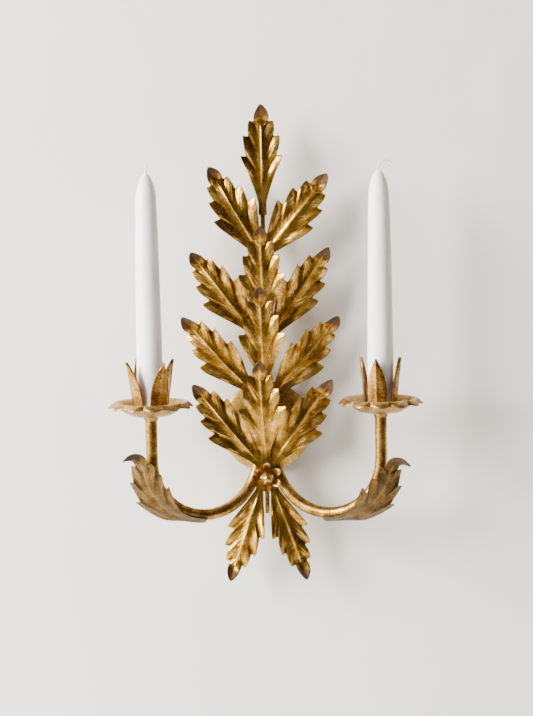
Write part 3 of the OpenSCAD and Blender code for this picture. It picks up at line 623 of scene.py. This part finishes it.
# result, operation and its two terms: the rim is cut in between the scallops and their middles fall
for result, operation, a, b in (
        ("angle", "ARCTAN2", "Y", "X"), ("angle", "SUBTRACT", "angle", "Turn"),
        ("angle", "MULTIPLY", "angle", "Scallops"), ("lobe", "COSINE", "angle", 0.0),
        ("lobe", "ADD", "lobe", 1.0), ("lobe", "MULTIPLY", "lobe", 0.5),
        ("dip", "POWER", "lobe", 0.55), ("dip", "SUBTRACT", 1.0, "dip"),
        ("cut", "MULTIPLY", "dip", "share"), ("cut", "MULTIPLY", "cut", "Cut"),
        ("cut", "DIVIDE", "cut", "radius"), ("keep", "SUBTRACT", 1.0, "cut"),
        ("fall", "MULTIPLY", "lobe", "share"), ("fall", "MULTIPLY", "fall", "Droop"),
        ("X", "MULTIPLY", "X", "keep"), ("Y", "MULTIPLY", "Y", "keep"),
        ("Z", "SUBTRACT", "Z", "fall")):
    value[result] = add(pan_tree, "ShaderNodeMath", {0: value.get(a, a), 1: value.get(b, b)},
                        operation=operation).outputs["Value"]
moved = add(pan_tree, "ShaderNodeCombineXYZ", {label: value[label] for label in "XYZ"})
shaped = add(pan_tree, "GeometryNodeSetPosition", {
    "Geometry": given.outputs["Geometry"], "Position": moved.outputs["Vector"]})
close_tree(pan_tree, given, shaped.outputs["Geometry"])

crest_r, edge_r, pan_h, pan_sheet = 30 * MM, 36 * MM, 12 * MM, 0.9 * MM
seat_r = 13.8 * MM
# upper face of the pan from its middle to its edge: share of the bowl's width, share of the rise
BOWL = [(0, 0), (0.1, 0.02), (0.2, 0.06), (0.3, 0.12), (0.45, 0.24), (0.6, 0.39), (0.72, 0.55),
        (0.84, 0.76), (0.92, 0.9), (0.97, 0.97), (1.0, 1.0)]
RIM = [(0.12, 1.02), (0.25, 1.02), (0.42, 0.99), (0.6, 0.94), (0.78, 0.87), (0.92, 0.8),
       (1.0, 0.74)]
top = [(0.002 * k / 6 + 0.001, 0) for k in range(3)]
top += [(seat_r * k / 5, 0) for k in range(2, 6)]
top += [(seat_r + s * (crest_r - seat_r), t * (pan_h - MM)) for s, t in BOWL[1:]]
top += [(crest_r + s * (edge_r - crest_r), t * (pan_h - MM)) for s, t in RIM]
upper = [(r, z + pan_sheet + 0.05 * MM) for r, z in top]
edge_bead = [(edge_r + 0.05 * MM, 0.74 * (pan_h - MM) + 0.3 * MM)]
lower = [(r, z + 0.1 * MM * (r < seat_r)) for r, z in top]
outline = [(0, pan_sheet)] + upper + edge_bead + lower[::-1] + [(0, 0)]
for side, node, turn in ((-1, "drip_pan_left", 8), (1, "drip_pan_right", -4)):
    points, faces = turned(outline, 288)
    radius = np.hypot(points[:, 0], points[:, 1])
    # darker at the rim's edge and in the bowl round the seat; a painted highlight runs round the crest
    wear_and_shade = np.clip((radius - 34.4 * MM) / (1.6 * MM), 0, 1) * 0.45
    wear_and_shade += np.clip((seat_r + 4 * MM - radius) / (8 * MM), 0, 0.35)
    source = new_piece("blank_disc", points, faces, pan_gilt, 40, attributes={
        "wear_and_shade": wear_and_shade, "highlight_and_shade": np.exp(-((radius - crest_r) / (2.2 * MM)) ** 2) * 0.6})
    pan = grown("pressed_" + node, source, pan_tree, {
        "Scallops": 12.0, "Crest": crest_r, "Edge": edge_r, "Cut": 3.4 * MM, "Droop": 1.2 * MM,
        "Turn": math.radians(turn), "Material": pan_gilt})
    pan.data.transform(Matrix.Translation((side * span_x, span_y, arm_top)))
    closed_and_smooth(pan, 50)
    fix(pan, "sconce", "gilt_tube", node)

# ---- Petal cups --------------------------------------------------------------------------------
# A cross cut from sheet, its four petals bent up round the candle. Each has an embossed middle
# ridge and an ogive point that leans out; the left cup's are spread more than the right one's.
petal_gilt = antique_gilt("gilt_paint_on_petals", "#4a2d0d", "#85591d", "#b3843a", "#dcb76c",
                          "#2b180a", 0.33)
cup_tree, given = node_tree("petals_round_cup", [
    ("Petals", "NodeSocketInt", 4), ("Turn", "NodeSocketFloat", 0.0),
    ("Material", "NodeSocketMaterial", None)])
spots = add(cup_tree, "GeometryNodeMeshLine", {
    "Count": given.outputs["Petals"], "Offset": (0.0, 0.0, 0.0)})
number = add(cup_tree, "GeometryNodeInputIndex").outputs["Index"]
sector = add(cup_tree, "ShaderNodeMath", {0: 2 * math.pi, 1: given.outputs["Petals"]},
             operation="DIVIDE").outputs["Value"]
heading = add(cup_tree, "ShaderNodeMath", {0: number, 1: sector, 2: given.outputs["Turn"]},
              operation="MULTIPLY_ADD").outputs["Value"]
spin = add(cup_tree, "ShaderNodeCombineXYZ", {"Z": heading}).outputs["Vector"]
copies = add(cup_tree, "GeometryNodeInstanceOnPoints", {
    "Points": spots.outputs["Mesh"], "Instance": given.outputs["Geometry"], "Rotation": spin})
close_tree(cup_tree, given, copies.outputs["Instances"])

PETAL_HALF = [(0, 0.80), (0.05, 0.84), (0.12, 0.90), (0.25, 0.975), (0.36, 1.0), (0.46, 0.985),
              (0.56, 0.92), (0.66, 0.80), (0.76, 0.63), (0.85, 0.43), (0.92, 0.25), (0.97, 0.11),
              (1.0, 0.03)]
# half width, height, distance from the cup's axis and sheet, in mm
petal_w, petal_h, petal_d, petal_sheet = 8.2, 46.0, 11.7, 0.9


def petal(tip):
    """One petal in mm standing towards -Y, with its share of the cup's floor."""
    rows = np.concatenate([[-0.16, -0.1, -0.05, -0.02], np.linspace(0, 1, 46)])
    columns = np.linspace(-1, 1, 21)
    h, u = np.meshgrid(rows, columns, indexing="ij")
    up = np.clip(h, 0, 1)
    half = np.interp(up, *zip(*PETAL_HALF)) * petal_w
    x = u * half
    lean = (tip - petal_d) * up ** 1.7
    bow = 1.4 * (1 - u ** 2) * eased(up / 0.06)
    ridge = 0.55 * np.exp(-(x / 1.3) ** 2) * eased(up / 0.1) * (1 - eased((up - 0.8) / 0.2))
    roll = 0.35 * eased((np.abs(u) - 0.8) / 0.2) * (up > 0.05)
    out = petal_d + lean + bow + ridge - roll
    layers = []
    for lift in (0.0, petal_sheet):
        d = out + lift + np.where(h < 0, h * 56, 0)
        z = up * petal_h + np.where(h < 0, petal_sheet - lift, 0)
        layers.append(np.stack([np.where(h < 0, x * (1 + h * 2.2), x), -d, z], -1))
    tip_wear = eased((up - 0.86) / 0.14) * 0.7
    worn_and_shaded = 0.6 * np.exp(-(half - np.abs(x)) / 0.7) + tip_wear
    # a painted highlight along the petal's middle ridge
    highlight_and_shade = 0.7 * np.exp(-(x / 1.1) ** 2) * (up > 0.1)
    grain = np.stack([x * 0.01, up * 0.4], -1)
    return layers, worn_and_shaded, highlight_and_shade, grain


cup_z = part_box("petal_cup_left")[0].z
for side, node, turn, tip in ((-1, "petal_cup_left", -55, 22), (1, "petal_cup_right", -17, 16)):
    points, faces, attributes, uv = leaf_mesh(*petal(tip))
    source = new_piece("one_petal", points * MM, faces, petal_gilt, 40, uv, attributes)
    cup = grown("bent_" + node, source, cup_tree, {
        "Petals": 4, "Turn": math.radians(turn), "Material": petal_gilt})
    floor_points, floor_faces = turned(
        [(0, 0), (10 * MM, 0), (12.1 * MM, 0.1 * MM), (12.1 * MM, 0.8 * MM),
         (11.6 * MM, 0.95 * MM), (0, 0.95 * MM)], 64)
    base = new_piece("cup_floor", floor_points, floor_faces, petal_gilt, 40, attributes={
        "wear_and_shade": np.full(len(floor_points), 0.3), "highlight_and_shade": np.zeros(len(floor_points))})
    bm = bmesh.new()
    bm.from_mesh(cup.data)
    bm.from_mesh(base.data)
    bm.to_mesh(cup.data)
    bm.free()
    bpy.data.objects.remove(base)
    cup.data.transform(Matrix.Translation((side * span_x, span_y, cup_z)))
    closed_and_smooth(cup, 40)
    fix(cup, "sconce", "gilt_tube", node)

# ---- Rosette, bud nut and stud -----------------------------------------------------------------
# A six-petalled star is pressed from sheet and clamped over the leaf stems by a bud-shaped nut on
# a stud brazed to the spine. Both are gilded; a painted highlight runs along the bud's ridges.
rose_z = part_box("rosette_stud")[0].z / MM + 1.5
rose_y = -spine_front + 3


def star_layers():
    """The star's two grids in mm: rings of growing radius, petals creased along their middles."""
    rings = np.linspace(0.12, 1, 18)
    turns = np.linspace(0, 2 * np.pi, 145)[:-1]
    s, t = np.meshgrid(rings, turns, indexing="ij")
    petal_wave = np.abs(np.cos(3 * t))
    reach = 8.4 + 5.0 * petal_wave ** 1.3
    r = s * reach
    rise = 0.2 + 4.1 * eased((r - 4.5) / 9.5) * (0.55 + 0.45 * petal_wave)
    crease = -0.5 * np.exp(-((1 - petal_wave) / 0.12)) * eased((s - 0.35) / 0.4)
    valley = 0.45 * (1 - petal_wave) * eased((s - 0.4) / 0.4)
    grids = []
    for lift in (0.0, 0.8):
        grids.append(np.stack([r * np.sin(t), r * np.cos(t), rise + crease + valley + lift], -1))
    # worn petal edges and darker between the petals; a painted highlight over the petals, growing
    # outwards
    wear_and_shade = 0.7 * np.exp(-(reach - r) / 0.8) + 0.3 * (1 - petal_wave)
    return grids, wear_and_shade, 0.5 * petal_wave * s


grids, wear_and_shade, highlight_and_shade = star_layers()
rows, columns = wear_and_shade.shape
count = rows * columns
points = np.concatenate([grids[0].reshape(-1, 3), grids[1].reshape(-1, 3)])
faces = []
for k in range(rows - 1):
    for i in range(columns):
        j = (i + 1) % columns
        a, b, c, d = k * columns + i, k * columns + j, (k + 1) * columns + j, (k + 1) * columns + i
        faces += [(a, b, c, d), (a + count, d + count, c + count, b + count)]
for i in range(columns):
    j = (i + 1) % columns
    last = (rows - 1) * columns
    faces.append((last + i, last + j, last + j + count, last + i + count))
    faces.append((j, i, i + count, j + count))
points = np.stack([points[:, 0], -rose_y - points[:, 2], rose_z + points[:, 1]], 1) * MM
rosette = new_piece("pressed_rosette", points, faces, leaf_gilt, 35, attributes={
    "wear_and_shade": np.tile(wear_and_shade.ravel(), 2), "highlight_and_shade": np.tile(highlight_and_shade.ravel(), 2)})
facing_out(rosette)
fix(rosette, "sconce", "gilt_leaf", "rosette")

low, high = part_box("bud_nut")
bud_h = (high.y - low.y) / MM
# round seat, then a five-faced bud that closes to a blunt point
shape = [(0, 0), (4.2, 0), (4.5, 0.3), (4.5, 1.9), (5.0, 2.3), (5.9, 2.7), (6.6, 3.5), (6.5, 4.4),
         (5.7, 5.6), (4.5, 6.9), (3.1, 8.1), (1.7, 9.0), (0.7, bud_h), (0, bud_h)]
points, faces = turned(shape, 80)
around = np.arctan2(points[:, 1], points[:, 0]) - 0.5
sector = (around % (2 * np.pi / 5)) - np.pi / 5
facet = np.cos(np.pi / 5) / np.cos(sector)
pinch = np.where(points[:, 2] > 2.4, 0.25 + 0.75 * facet, 1)
points = np.stack([points[:, 0] * pinch, -(rose_y + 1) - points[:, 2],
                   rose_z + points[:, 1] * pinch], 1) * MM
from_wall = -points[:, 1] / MM
# where the bud's faces and its point start, in mm from the wall
BUD_FACES, BUD_POINT = 31, 37
bud_gilt = antique_gilt("gilt_paint_on_bud", "#3f290d", "#7a5518", "#b08232", "#e6c98a",
                        "#2e1a0a", 0.26)
# the bud's point is darker, and a painted highlight runs along the ridges between its faces
bud = new_piece("bud_cap_nut", points, faces, bud_gilt, 30, attributes={
    "wear_and_shade": 0.5 * eased((from_wall - BUD_POINT) / 2),
    "highlight_and_shade": np.clip(1 - 8 * (1 - pinch), 0, 1) * (from_wall > BUD_FACES)})
facing_out(bud)
fix(bud, "sconce", "gilt_leaf", "bud_nut")

# ---- Candles and wicks -------------------------------------------------------------------------
# Dipped white dinner tapers, 22 mm across the foot, each loose in its cup. A cotton wick runs
# through each: the left one stands short, the right one flops over.
wax, tree, place = new_material("paraffin_wax_white_dipped")
dipped = add(tree, "ShaderNodeMapping", {"Vector": place, "Scale": (60, 60, 22)})
flow = add(tree, "ShaderNodeTexNoise", {"Vector": dipped.outputs["Vector"], "Scale": 1,
                                        "Detail": 3}).outputs["Fac"]
bloom = add(tree, "ShaderNodeTexNoise", {"Vector": place, "Scale": 800, "Detail": 4}).outputs["Fac"]
cloudy = add(tree, "ShaderNodeMapRange", {"Value": flow, "From Min": 0.35, "From Max": 0.7})
colour = add(tree, "ShaderNodeMix", {
    "Factor": cloudy.outputs["Result"], 6: linear("#f6f7f5"), 7: linear("#f0f1ed")},
    data_type="RGBA").outputs[2]
gloss = add(tree, "ShaderNodeMapRange", {
    "Value": bloom, "From Min": 0.3, "From Max": 0.7, "To Min": 0.34, "To Max": 0.46})
skin = add(tree, "ShaderNodeBump", {"Height": flow, "Distance": 0.0012, "Strength": 0.25})
skin = add(tree, "ShaderNodeBump", {"Height": bloom, "Distance": 0.00008, "Strength": 0.3,
                                    "Normal": skin.outputs["Normal"]})
shader = add(tree, "ShaderNodeBsdfPrincipled", {
    "Base Color": colour, "Roughness": gloss.outputs["Result"], "IOR": 1.44,
    "Subsurface Weight": 0.3, "Subsurface Radius": (1.0, 0.95, 0.8), "Subsurface Scale": 0.006,
    "Normal": skin.outputs["Normal"]})
add(tree, "ShaderNodeOutputMaterial", {"Surface": shader.outputs["BSDF"]})
cotton, tree, place = new_material("cotton_wick_waxed_braid")
fibre = add(tree, "ShaderNodeTexNoise", {"Vector": place, "Scale": 2600, "Detail": 4}).outputs["Fac"]
colour = add(tree, "ShaderNodeMix", {"Factor": fibre, 6: linear("#f4f3ee"), 7: linear("#d9d6cd")},
             data_type="RGBA").outputs[2]
fuzz = add(tree, "ShaderNodeBump", {"Height": fibre, "Distance": 0.0002, "Strength": 0.6})
shader = add(tree, "ShaderNodeBsdfPrincipled", {
    "Base Color": colour, "Roughness": 0.7, "Sheen Weight": 0.3, "Normal": fuzz.outputs["Normal"]})
add(tree, "ShaderNodeOutputMaterial", {"Surface": shader.outputs["BSDF"]})

candle_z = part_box("candle_left")[0].z
candle_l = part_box("candle_left")[1].z - candle_z
# radius in mm at a share of the length
TAPER = [(0, 10.3), (0.0015, 10.8), (0.004, 11.1), (0.05, 11.1), (0.2, 11.0), (0.35, 10.75),
         (0.5, 10.4), (0.65, 9.95), (0.78, 9.45), (0.86, 9.05), (0.895, 8.7), (0.92, 8.2),
         (0.942, 7.4), (0.96, 6.3), (0.974, 5.0), (0.985, 3.7), (0.9935, 2.3), (0.9985, 1.2)]
shares = np.concatenate([np.linspace(0, 0.01, 8), np.linspace(0.02, 0.86, 30),
                         np.linspace(0.87, 0.9985, 34)])
radii = np.interp(shares, *zip(*TAPER)) * MM
for side, node in ((-1, "candle_left"), (1, "candle_right")):
    outline = [(0, 0)] + [(r, s * candle_l) for r, s in zip(radii, shares)] + [(0, candle_l)]
    points, faces = turned(outline, 96)
    # the taper stands a hair out of true, as a dipped one does
    drift = side * 0.35 * MM * np.sin(points[:, 2] / candle_l * 2.6)
    points = points + np.stack([drift + side * span_x, np.full(len(points), span_y),
                                np.full(len(points), candle_z)], 1)
    candle = new_piece("dipped_" + node, points, faces, wax, 60)
    facing_out(candle)
    fix(candle, node, "wax", node)

WICKS = {"wick_left": (4.0, 3.0, 50, -1), "wick_right": (1.5, 6.0, 150, 1)}
for node, (rise, bend_r, sweep_angle, side) in WICKS.items():
    top_z = candle_z + candle_l
    line = [(0, -14 * MM), (0, -6 * MM), (0, -1 * MM)] + [(0, rise * MM * k / 4) for k in range(5)]
    for k in range(1, 25):
        t = math.radians(sweep_angle * k / 24)
        line.append((bend_r * MM * (1 - math.cos(t)), (rise + bend_r * math.sin(t)) * MM))
    line = np.array(line)
    travel = np.concatenate([[0], np.cumsum(np.hypot(*np.diff(line, axis=0).T))])
    fine = np.linspace(0, travel[-1], 90)
    xs, zs = np.interp(fine, travel, line[:, 0]), np.interp(fine, travel, line[:, 1])
    slope = np.arctan2(np.gradient(zs), np.gradient(xs))
    strands = []
    for strand in range(3):
        t = fine / (3.2 * MM) * 2 * np.pi + strand * 2 * np.pi / 3
        out = 0.42 * MM * np.cos(t)
        track = np.stack([side * span_x + xs - out * np.sin(slope),
                          span_y + 0.42 * MM * np.sin(t), top_z + zs + out * np.cos(slope)], 1)
        piece = grown("strand", path_object("track", track.tolist()), tube_tree,
                      {"Radius": 0.42 * MM, "Material": cotton})
        closed_and_smooth(piece)
        strands.append(piece)
    bm = bmesh.new()
    for piece in strands:
        bm.from_mesh(piece.data)
    mesh = bpy.data.meshes.new("twisted_" + node)
    bm.to_mesh(mesh)
    bm.free()
    for piece in strands:
        bpy.data.objects.remove(piece)
    mesh.materials.append(cotton)
    mesh.shade_smooth()
    wick = bpy.data.objects.new("twisted_" + node, mesh)
    bpy.context.scene.collection.objects.link(wick)
    fix(wick, node.replace("wick", "candle"), "wick", node)

# ---- Wall, floor, light and camera -------------------------------------------------------------
# A plain pale sweep stands behind the sconce and runs forward well below it, like undyed cloth.
# One large soft light stands at the upper left, with a weak fill in front. Seen from behind, the
# sweep lets the view through.
backdrop, tree, place = new_material("pale_sweep_undyed_cloth")
slub = add(tree, "ShaderNodeTexNoise", {"Vector": place, "Scale": 900, "Detail": 3}).outputs["Fac"]
crumple = add(tree, "ShaderNodeTexNoise", {"Vector": place, "Scale": 5, "Detail": 4,
                                           "Roughness": 0.5}).outputs["Fac"]
colour = add(tree, "ShaderNodeMix", {"Factor": slub, 6: linear("#f3f1ed"), 7: linear("#ebe8e3")},
             data_type="RGBA").outputs[2]
folds = add(tree, "ShaderNodeBump", {"Height": crumple, "Distance": 0.012, "Strength": 0.35})
weave = add(tree, "ShaderNodeBump", {"Height": slub, "Distance": 0.0002, "Strength": 0.4,
                                     "Normal": folds.outputs["Normal"]})
cloth = add(tree, "ShaderNodeBsdfPrincipled", {
    "Base Color": colour, "Roughness": 0.9, "Normal": weave.outputs["Normal"]})
clear = add(tree, "ShaderNodeBsdfTransparent")
behind = add(tree, "ShaderNodeNewGeometry").outputs["Backfacing"]
either = add(tree, "ShaderNodeMixShader", {0: behind, 1: cloth.outputs["BSDF"],
                                           2: clear.outputs["BSDF"]})
add(tree, "ShaderNodeOutputMaterial", {"Surface": either.outputs["Shader"]})
wall_y, floor_z, cove = 0.6 * MM, -0.5, 0.06
track = [(wall_y, 2.2), (wall_y, 1.0), (wall_y, floor_z + cove)]
for k in range(1, 13):
    t = math.radians(90 * k / 12)
    track.append((wall_y - cove * (1 - math.cos(t)), floor_z + cove * (1 - math.sin(t))))
track.append((-0.9, floor_z))
points = [(x, y, z) for y, z in track for x in (-2.5, 2.5)]
faces = [(2 * k, 2 * k + 1, 2 * k + 3, 2 * k + 2) for k in range(len(track) - 1)]
sweep = new_piece("pale_sweep", points, faces, backdrop, 60)
if sweep.data.polygons[0].normal.y > 0:
    sweep.data.flip_normals()

world = bpy.data.worlds.new("studio")
world.use_nodes = True
bpy.context.scene.world = world
tree = world.node_tree
tree.nodes.clear()
heading = add(tree, "ShaderNodeTexCoord").outputs["Generated"]
across = add(tree, "ShaderNodeSeparateXYZ", {"Vector": heading}).outputs["X"]
# the room is brighter on the window's side
level = add(tree, "ShaderNodeMapRange", {
    "Value": across, "From Min": -0.9, "From Max": 0.1, "To Min": 0.7, "To Max": 0.03})
room = add(tree, "ShaderNodeBackground", {
    "Color": linear("#eef0f2"), "Strength": level.outputs["Result"]})
add(tree, "ShaderNodeOutputWorld", {"Surface": room.outputs["Background"]})


def soft_light(name, place, size, watts, colour):
    """A square soft box that faces the middle of the sconce."""
    data = bpy.data.lights.new(name, "AREA")
    data.size = size
    data.energy = watts
    data.color = linear(colour)[:3]
    lamp = bpy.data.objects.new(name, data)
    lamp.location = place
    aim = Vector((0, -0.03, 0.07)) - Vector(place)
    lamp.rotation_euler = aim.to_track_quat("-Z", "Y").to_euler()
    bpy.context.scene.collection.objects.link(lamp)


soft_light("window", (-2.1, -1.15, 0.85), 1.3, 330, "#fffaf2")
soft_light("fill", (0.1, -1.7, 1.0), 0.4, 1.2, "#fff6ea")

camera_data = bpy.data.cameras.new("camera")
camera_data.lens = 85.6
camera = bpy.data.objects.new("camera", camera_data)
bpy.context.scene.collection.objects.link(camera)
bpy.context.scene.camera = camera
eye, look = Vector((1.26 * MM, -1.5, 0.196)), Vector((1.26 * MM, 0, 0.0608))
camera.location = eye
camera.rotation_mode = "QUATERNION"
tilt = (look - eye).to_track_quat("-Z", "Y")
camera.rotation_quaternion = tilt @ Matrix.Rotation(math.radians(-0.94), 3, "Z").to_quaternion()

bpy.context.view_layer.update()
